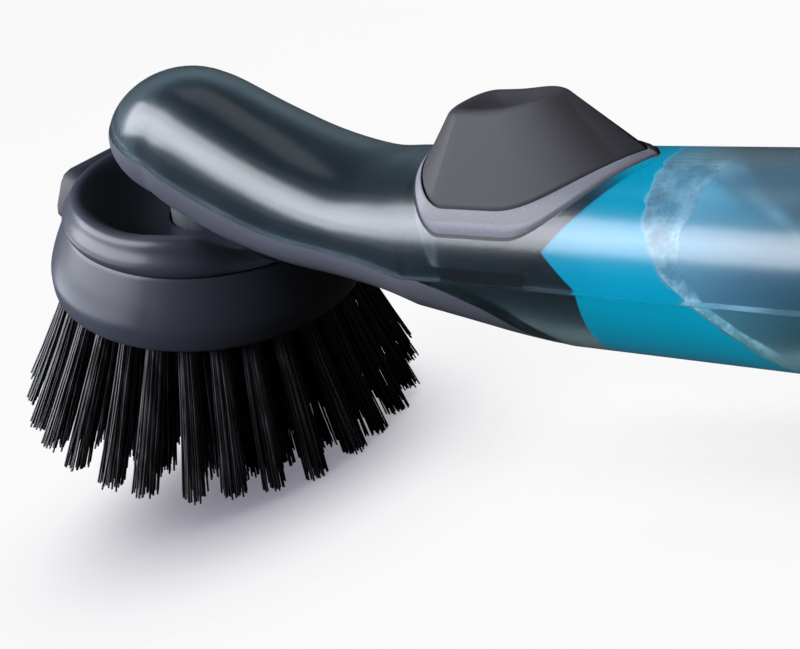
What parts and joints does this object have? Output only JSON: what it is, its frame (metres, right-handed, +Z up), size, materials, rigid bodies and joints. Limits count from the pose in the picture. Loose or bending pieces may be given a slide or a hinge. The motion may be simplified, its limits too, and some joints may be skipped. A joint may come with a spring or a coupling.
{
  "type": "dish wand",
  "caption": "Soap-dispensing dish brush: a see-through handle holds the liquid, a thumb button pumps it into a round brush head.",
  "frame": {"origin": "on the counter under the middle of the wand's box, with the wand lying on its bristles and end cap", "axes": "+X from the brush head to the filler end, +Z up, +Y to the left of the handle"},
  "size_m": [0.2842, 0.0832, 0.0799],
  "materials": {
    "smoky_clear": "glossy see-through",
    "blue_clear": "glossy see-through",
    "grey_satin": "satin",
    "bezel_grey": "fine grained satin",
    "charcoal_soft": "soft matt",
    "head_grey": "satin",
    "inner_black": "matt",
    "collar_grey": "satin",
    "white_plastic": "satin",
    "hose": "soft clear",
    "soap": "clear teal liquid",
    "nylon": "semi-gloss nylon",
    "black_rubber": "matt",
    "pale_rubber": "matt",
    "spring_steel": "bright"
  },
  "bodies": {
    "root": {"upper_shell": "smoky_clear", "lower_shell": "blue_clear", "neck_cover": "grey_satin", "button_bezel": "bezel_grey", "bezel_seal": "black_rubber", "pump_housing": "inner_black", "inlet_valve": "pale_rubber", "neck_core": "inner_black", "feed_tube": "hose", "nozzle": "inner_black", "outlet_valve": "pale_rubber", "nozzle_seal": "black_rubber", "soap": "soap", "filler_collar": "collar_grey", "return_spring": "spring_steel"},
    "button": {"button_cap": "charcoal_soft", "plunger": "white_plastic", "piston_seal": "black_rubber"},
    "cap_lift": {"cap_seal": "black_rubber"},
    "cap": {"end_cap": "grey_satin"},
    "head": {"head_cap": "head_grey", "head_ring": "head_grey", "bristle_block": "inner_black", "bristles_outer": "nylon", "bristles_inner": "nylon", "scraper": "head_grey", "head_gasket": "black_rubber"}
  },
  "joints": [
    {"name": "button_press", "type": "slide", "parent": "root", "child": "button", "axis": [-0.1585, 0, -0.9874], "range_m": [0, 0.004], "stiffness_N_per_m": 600, "springref_m": -0.002, "deforming": ["return_spring"]},
    {"name": "head_release", "type": "slide", "parent": "root", "child": "head", "axis": [-0.4245, 0, -0.9054], "range_m": [0, 0.02]},
    {"name": "cap_draw", "type": "slide", "parent": "root", "child": "cap_lift", "axis": [0.9874, 0, -0.1585], "range_m": [0, 0.01]},
    {"name": "cap_turn", "type": "hinge", "parent": "cap_lift", "child": "cap", "pos_m": [0.11689, 0, 0.0169], "axis": [0.9874, 0, -0.1585], "range_deg": [0, 300]}
  ],
  "couplings": [
    {"joint": "cap_draw", "follows": "cap_turn", "m_per_rad": 0.0019}
  ]
}
